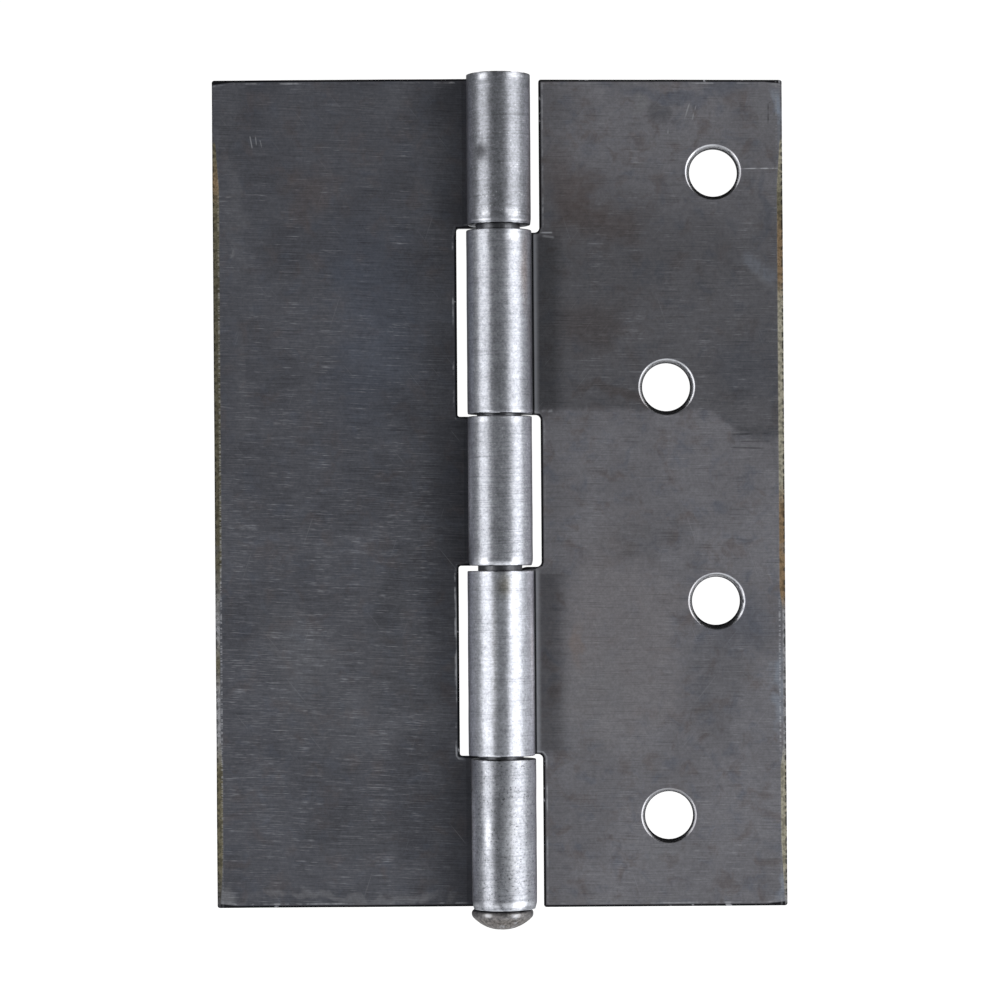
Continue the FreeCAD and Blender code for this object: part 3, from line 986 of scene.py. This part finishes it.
# Patches: tint, strength, across, up, half width, half height (mm on the blank), softness, raggedness
# Lines: tint, strength, across, up, angle in degrees, half length, half width (mm)
# Stops: height up the leaf in mm, level
# On the barrel, across runs backwards from the pin axis: its front lies near -10.5
plainLook = {
    "face": (0.16, 0.163, 0.184, 1),
    "faceLow": (0.13, 0.132, 0.15, 1),
    "hueStrength": 0.22,
    "rough": 0.4,
    "barrelRough": 0.36,
    "barrelRelief": 1.1,
    "slant": radians(2.4),
    "crowdStops": [(0, 0.45), (9, 0.8), (24, 1), (48, 0.95), (62, 0.6), (86, 0.35), (93, 0.1)],
    "grainDepth": 0.13,
    "dashStrength": 0.27,
    "dashScatter": 0.7,
    "fleckStrength": 0.5,
    "pitStops": [(0, 0.7), (17, 0.7), (22, 0.12), (80, 0.12), (86, 0.2)],
    "bendDark": 0.4,
    "bendFrom": 3.5,
    "bendTo": 9.5,
    "creaseDark": 0.2,
    "creaseLight": 0,
    "edgeWear": 0.03,
    "noseFrom": 34.22,
    "burrFrom": 34.14,
    "rimDark": 0.5,
    "scaleStops": [(0, 0.2), (4, 0.7), (7, 0.9), (17, 0.9), (21, 0.5), (37, 0.5), (42, 1), (88, 1),
                   (93.6, 0.3), (94.4, 0)],
    "scaleTints": [(0, "dark"), (5, "olive"), (17, "olive"), (21, "light"), (26, "light"), (30, "olive"),
                   (34, "light"), (42, "darkOlive"), (78, "darkOlive"), (86, "olive"), (89, "rust"),
                   (92, "olive")],
    "scaleSpecks": 0.5,
    "burrStops": [(0, 0.1), (7, 0.15), (18, 0.3), (22, 0.45), (38, 0.45), (43, 0.26), (76, 0.24),
                  (86, 0.12), (99, 0)],
    "patches": [
        # the first patch is painted shade: the leaf darkens towards the barrel
        ("soot", 0.38, 2, 50, 15, 90, 0.9, 0.15),
        ("blue", 0.36, 15.2, 72, 8.5, 20, 0.8, 0.6),
        ("brown", 0.35, 23.3, 87.3, 3.6, 5, 0.8, 0.8),
        ("light", 0.08, 13.5, 98.5, 7, 2.8, 0.8, 1.3),
        ("light", 0.1, 32.5, 97, 3, 6, 0.9, 1),
        ("light", 0.16, 32.8, 86, 1.9, 12, 0.8, 1),
        ("light", 0.08, 31.8, 62, 1.1, 12, 0.8, 0.8),
        ("light", 0.16, 25.5, 31, 6, 10, 0.9, 0.6),
        ("light", 0.12, 18, 27, 13, 15, 0.7, 0.6),
        ("dark", 0.25, 13.5, 37, 2.6, 3.4, 0.6, 0.9),
        ("dark", 0.28, 17, 9.5, 10, 3.6, 0.7, 0.6),
        ("light", 0.4, 18, 0.9, 17, 0.9, 0.8, 2.2),
        ("light", 0.65, 33.8, 1.4, 2.2, 2, 0.7, 1.2),
        ("light", 0.5, 34, 81.4, 0.6, 0.8, 0.7, 1),
    ],
    "lines": [
        ("worn", 0.5, 5.45, 31.4, 90, 8.2, 0.07),
        ("worn", 0.35, 30.2, 94, 80, 0.9, 0.08),
        ("worn", 0.35, 29.6, 94.2, 84, 0.7, 0.07),
        ("worn", 0.3, 29, 93.8, 76, 0.6, 0.07),
    ],
    "barrelPatches": [
        # painted shade where the top knuckle's dent breaks its highlight
        ("soot", 0.75, -12.35, 92, 1, 1.6, 0.8, 0.5),
        ("dark", 0.4, -11.6, 91.8, 0.5, 1.4, 0.8, 0.5),
        # the worn patches from here on are painted highlights: down the flanks, in the highlight columns and
        # as crescents at the knuckle ends
        ("worn", 0.9, -15.1, 51, 1.4, 9.5, 0.7, 0.3),
        ("worn", 0.9, -15.1, 9.5, 1.5, 9.5, 0.7, 0.3),
        ("worn", 0.42, -12.1, 9.3, 0.6, 2.9, 0.8, 0.6),
        ("dark", 0.35, -11.1, 11, 1.2, 8, 0.9, 1.2),
        ("worn", 0.3, -9.8, 9, 1.1, 10, 0.9, 0.8),
        ("worn", 0.28, -12.3, 59.5, 1, 0.4, 0.8, 1.5),
        ("worn", 0.28, -9, 59.5, 1.4, 0.45, 0.8, 1.5),
        ("worn", 0.35, -8.8, 84.5, 1, 0.8, 0.8, 2.4),
        ("worn", 0.35, -12, 84.5, 0.8, 0.8, 0.8, 2.4),
        ("worn", 0.4, -12.2, 101, 0.8, 0.5, 0.9, 1.6),
        ("worn", 0.35, -8.6, 101.1, 1.6, 0.4, 0.9, 1.6),
    ],
    "barrelLines": [
        # painted highlights, partly wear, along the knuckles' lower ends
        ("worn", 0.6, -10.5, 0.75, 0, 5, 0.34),
        ("worn", 0.6, -10.5, 42.1, 0, 5, 0.22),
        ("worn", 0.7, -8.4, 42.5, 0, 1.1, 0.34),
        ("worn", 0.7, -12.8, 42.5, 0, 1.1, 0.34),
        ("worn", 0.5, -10.5, 83.7, 0, 5, 0.1),
    ],
}
drilledLook = {
    "face": (0.315, 0.309, 0.332, 1),
    "faceLow": (0.268, 0.262, 0.281, 1),
    "hueStrength": 0.4,
    "rough": 0.38,
    "barrelRough": 0.33,
    "barrelRelief": 0.9,
    "slant": radians(-1),
    "crowdStops": [(0, 0.3), (8, 0.5), (20, 0.25), (50, 0.3), (62, 0.5), (80, 0.45), (93, 0.15)],
    "grainDepth": 0.06,
    "dashStrength": 0.25,
    "dashScatter": 0.6,
    "fleckStrength": 0.3,
    "pitStops": [(0, 0.1), (101, 0.1)],
    "bendDark": 0.42,
    "bendFrom": 6.2,
    "bendTo": 8.8,
    "creaseDark": 0.95,
    "creaseLight": 0.34,
    "edgeWear": 0.2,
    "noseFrom": 34.32,
    "burrFrom": 34.12,
    "rimDark": 0.8,
    "scaleStops": [(0, 0.2), (4, 0.6), (8, 1), (17, 1), (20, 0.35), (36, 0.35), (39, 1), (88, 1),
                   (93.8, 0.3), (94.6, 0)],
    "scaleTints": [(0, "light"), (5, "paleOlive"), (17, "paleOlive"), (20, "light"), (36, "light"),
                   (38, "rust"), (49, "rust"), (52, "paleOlive"), (74, "paleOlive"), (77, "rust"),
                   (82, "rust"), (86, "olive"), (92, "paleOlive")],
    "scaleSpecks": 0.4,
    "burrStops": [(0, 0.2), (17, 0.05), (20, 0.55), (36, 0.55), (39, 0.05), (90, 0.05), (99, 0.2)],
    "waterline": {"height": 60.9, "dipFrom": 25, "dipTo": 31, "dip": 3.2, "strength": 0.55, "ragged": 1.8,
                  "fadeFrom": 78, "fadeTo": 97},
    "patches": [
        ("beige", 0.6, 14.5, 33, 9, 17, 0.4, 0.7),
        ("brown", 0.6, 9.5, 87, 4.5, 8, 0.8, 0.8),
        ("brown", 0.6, 13, 85, 6.5, 4, 0.8, 0.8),
        ("brown", 0.6, 12, 70.2, 6.8, 5, 0.8, 0.8),
        ("brown", 0.6, 16, 62.8, 9.5, 1.2, 0.7, 0.7),
        ("blue", 0.4, 23, 100.3, 11, 1.2, 0.7, 0.8),
        ("blue", 0.35, 30.1, 65.8, 6, 6, 0.8, 0.6),
        ("light", 0.3, 32.2, 96.5, 1.8, 4, 0.7, 0.9),
        ("light", 0.6, 17.6, 98, 0.8, 2.3, 0.5, 0.4),
        ("dark", 0.42, 20.6, 97.8, 2.4, 2.4, 0.5, 0.6),
        ("light", 0.3, 32.2, 77.9, 2.8, 2.3, 0.8, 1.2),
        ("dark", 0.35, 18.2, 44, 9.5, 5, 0.9, 0.8),
        ("dark", 0.25, 27.5, 28, 7, 10.5, 0.7, 0.7),
        ("blue", 0.3, 28.5, 34, 6, 6, 0.9, 0.8),
        ("dark", 0.1, 26, 4, 14, 9, 0.9, 0.6),
        ("dark", 0.22, 5, 92, 6, 12, 1, 0.3),
        ("light", 0.2, 10, 25, 7, 9, 0.9, 0.5),
        ("light", 0.16, 33, 8, 3, 10, 0.9, 0.5),
        ("light", 0.12, 14, 22, 9, 12, 0.9, 0.5),
        ("dark", 0.4, 30.5, 57.4, 3.2, 1.4, 0.7, 1.6),
        ("orange", 0.25, 9.4, 32.7, 1.3, 5, 0.9, 1.2),
        ("light", 0.3, 21, 93.9, 5.5, 0.5, 0.9, 1),
        ("light", 0.25, 21, 7, 4.2, 1.6, 0.9, 1.6),
        ("light", 0.3, 18, 0.8, 16, 0.7, 0.8, 2.2),
        ("blue", 0.4, 33.2, 85.5, 0.9, 6, 0.8, 0.4),
        ("sheen", 0.4, 34.3, 97, 0.8, 4.5, 0.7, 0.5),
        ("sheen", 0.45, 34.2, 26, 0.9, 8, 0.8, 0.6),
        ("sheen", 0.55, 33.9, 2.6, 1.2, 2.4, 0.8, 1.3),
    ],
    "lines": [
        ("worn", 0.9, 32.2, 90.5, 0, 2.6, 0.07),
        ("sheen", 0.8, 34.6, 96.8, 91, 4.2, 0.2),
        ("sheen", 0.2, 32, 78.2, -38, 3, 0.9),
        ("light", 0.2, 32.8, 76.6, -35, 2.4, 0.5),
        ("soot", 0.4, 30.6, 57.9, 2, 3, 0.13),
        ("soot", 0.35, 31.4, 57, 0, 2.2, 0.1),
        ("soot", 0.35, 30.4, 56.2, -2, 2.4, 0.1),
        ("worn", 0.35, 5.9, 60.9, 4, 0.8, 0.2),
        ("worn", 0.25, 6.2, 82.3, -8, 0.9, 0.16),
        ("soot", 0.45, 33.3, 97.3, 90, 1.5, 0.09),
        ("soot", 0.5, 33.8, 98.8, 10, 0.5, 0.08),
        ("worn", 0.4, 23.3, 97.6, 72, 1.3, 0.08),
        ("worn", 0.35, 24.2, 97.5, 74, 1.1, 0.07),
        ("worn", 0.35, 21, 95.3, 85, 0.5, 0.08),
        ("worn", 0.35, 21.9, 95.4, 80, 0.5, 0.07),
        ("worn", 0.6, 6, 82.8, 0, 0.9, 0.1),
        ("worn", 0.35, 5.6, 9, 90, 8.5, 0.07),
        ("light", 0.5, 5.55, 92, 90, 8, 0.07),
    ],
    "barrelPatches": [
        ("olive", 0.65, -10.9, 39.6, 1.2, 2.2, 0.9, 0.6),
        ("orange", 0.3, -13.7, 77.5, 1, 7, 1, 0.8),
        # the worn patches are painted highlights: in the highlight columns, down the right flank and at the
        # knuckle ends
        ("worn", 0.55, -9.95, 30.5, 0.5, 11.5, 0.9, 0.3),
        ("worn", 0.6, -14.9, 30, 0.8, 11, 0.9, 0.3),
        ("worn", 0.45, -12.2, 81.9, 1.2, 0.9, 0.8, 1.2),
        ("worn", 0.4, -12.3, 40.4, 0.8, 0.5, 0.9, 1.2),
    ],
    "barrelLines": [],
}

for leaf, look in ((plainLeaf, plainLook), (drilledLeaf, drilledLook)):
    buildLeaf(leaf).data.materials.append(leafMaterial(leaf, look))
buildPin().data.materials.append(pinMaterial())
print("steel materials made")

# The room: a pale floor well below the hinge, two tall soft boxes and a dim front
studio = {
    "floorHeight": -170 * mm,
    "floorSize": 200.0,
    "boxDistance": 0.9,
    "boxWidth": 0.66,
    "boxHeight": 1.3,
    "leftAngle": -55,
    "rightAngle": 59,
    "leftPower": 6.6,
    "rightPower": 7.2,
    "frontGlow": 0.36,
    "sideGlow": 0.66,
    "rightGain": 0.4,
    "floorGlow": 0.8,
    "ceilingShare": 0.04,
    "roomColour": (0.96, 0.98, 1.0, 1),
    "white": (1, 1, 1, 1),          # what the camera sees round the hinge
    "whiteStrength": 1.05,
    "floorFinish": {"Base Color": (0.9, 0.9, 0.9, 1), "Roughness": 0.9, "Specular IOR Level": 0.0,
                    "Emission Color": (1, 1, 1, 1), "Emission Strength": 1.0},
}


def makeFloor():
    bm = bmesh.new()
    bmesh.ops.create_grid(bm, x_segments=1, y_segments=1, size=studio["floorSize"])
    bmesh.ops.translate(bm, verts=bm.verts[:], vec=(0, 0, studio["floorHeight"]))
    floor = objectFrom(bm, "floor")
    material = bpy.data.materials.new("paleFloor")
    material.use_nodes = True
    for name, value in studio["floorFinish"].items():
        material.node_tree.nodes["Principled BSDF"].inputs[name].default_value = value
    floor.data.materials.append(material)
    floor.visible_glossy = False
    floor.visible_diffuse = False


def softBox(name, azimuth, power):
    angle = radians(azimuth)
    away = Vector((sin(angle), -cos(angle), 0)) * studio["boxDistance"]
    light = bpy.data.lights.new(name, "AREA")
    light.shape = "RECTANGLE"
    light.size = studio["boxWidth"]
    light.size_y = studio["boxHeight"]
    light.energy = power
    made = bpy.data.objects.new(name, light)
    made.location = away
    made.rotation_euler = (-away).to_track_quat("-Z", "Y").to_euler()
    made.visible_camera = False
    bpy.context.scene.collection.objects.link(made)


def makeWorld():
    world = bpy.data.worlds.new("studioWorld")
    bpy.context.scene.world = world
    world.use_nodes = True
    tree = world.node_tree
    tree.nodes.clear()
    right, forward, up = firstOf(tree, "ShaderNodeTexCoord").parts()
    glow = forward.maths("ABSOLUTE").eased(0.3, 0.92, studio["sideGlow"], studio["frontGlow"])
    glow = glow * (right * studio["rightGain"] + 1) * up.eased(0.05, 0.7, 1.0, studio["ceilingShare"])
    glow = glow + up.eased(-0.1, -0.75, 0.0, studio["floorGlow"])
    dim = firstOf(tree, "ShaderNodeBackground", (studio["roomColour"], glow))
    white = firstOf(tree, "ShaderNodeBackground", (studio["white"], studio["whiteStrength"]))
    seen = firstOf(tree, "ShaderNodeLightPath")
    chosen = firstOf(tree, "ShaderNodeMixShader", (seen, dim, white))
    addNode(tree, "ShaderNodeOutputWorld", (chosen,))


# The camera stands square to the open leaves, as far off as the photograph's perspective says
view = {
    "pixelsPerMm": 8.148,           # at the leaves' front face
    "distance": 418 * mm,           # from that face
    "axisPixel": (499.6, 565.0),    # where the line of sight meets the leaves, of 1000 x 1000
    "middlePixel": (499.6, 492.4),  # the middle of the plain leaf's height, on the pin's axis
    "roll": radians(-0.41),
    "sensor": 36.0,
}


def makeCamera():
    data = bpy.data.cameras.new("camera")
    data.sensor_width = view["sensor"]
    data.lens = view["sensor"] * view["distance"] / mm * view["pixelsPerMm"] / 1000
    plainLow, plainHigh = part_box("plain_leaf")
    middle = (plainLow.z + plainHigh.z) / 2
    drop = (view["axisPixel"][1] - view["middlePixel"][1]) / view["pixelsPerMm"] * mm
    # the roll turns the picture about the line of sight, so the camera moves sideways to keep its place
    sideways = drop * tan(view["roll"])
    camera = bpy.data.objects.new("camera", data)
    camera.location = (sideways, sheet["boreRadius"] - view["distance"], middle - drop)
    camera.rotation_euler = (radians(90), -view["roll"], 0)
    data.shift_x = (500 - view["axisPixel"][0]) / 1000
    data.shift_y = (view["axisPixel"][1] - 500) / 1000
    data.clip_start, data.clip_end = 0.01, 1000
    bpy.context.scene.collection.objects.link(camera)
    bpy.context.scene.camera = camera


makeFloor()
softBox("leftBox", studio["leftAngle"], studio["leftPower"])
softBox("rightBox", studio["rightAngle"], studio["rightPower"])
makeWorld()
makeCamera()
bpy.context.scene.view_settings.view_transform = "Standard"
print("studio and camera set")
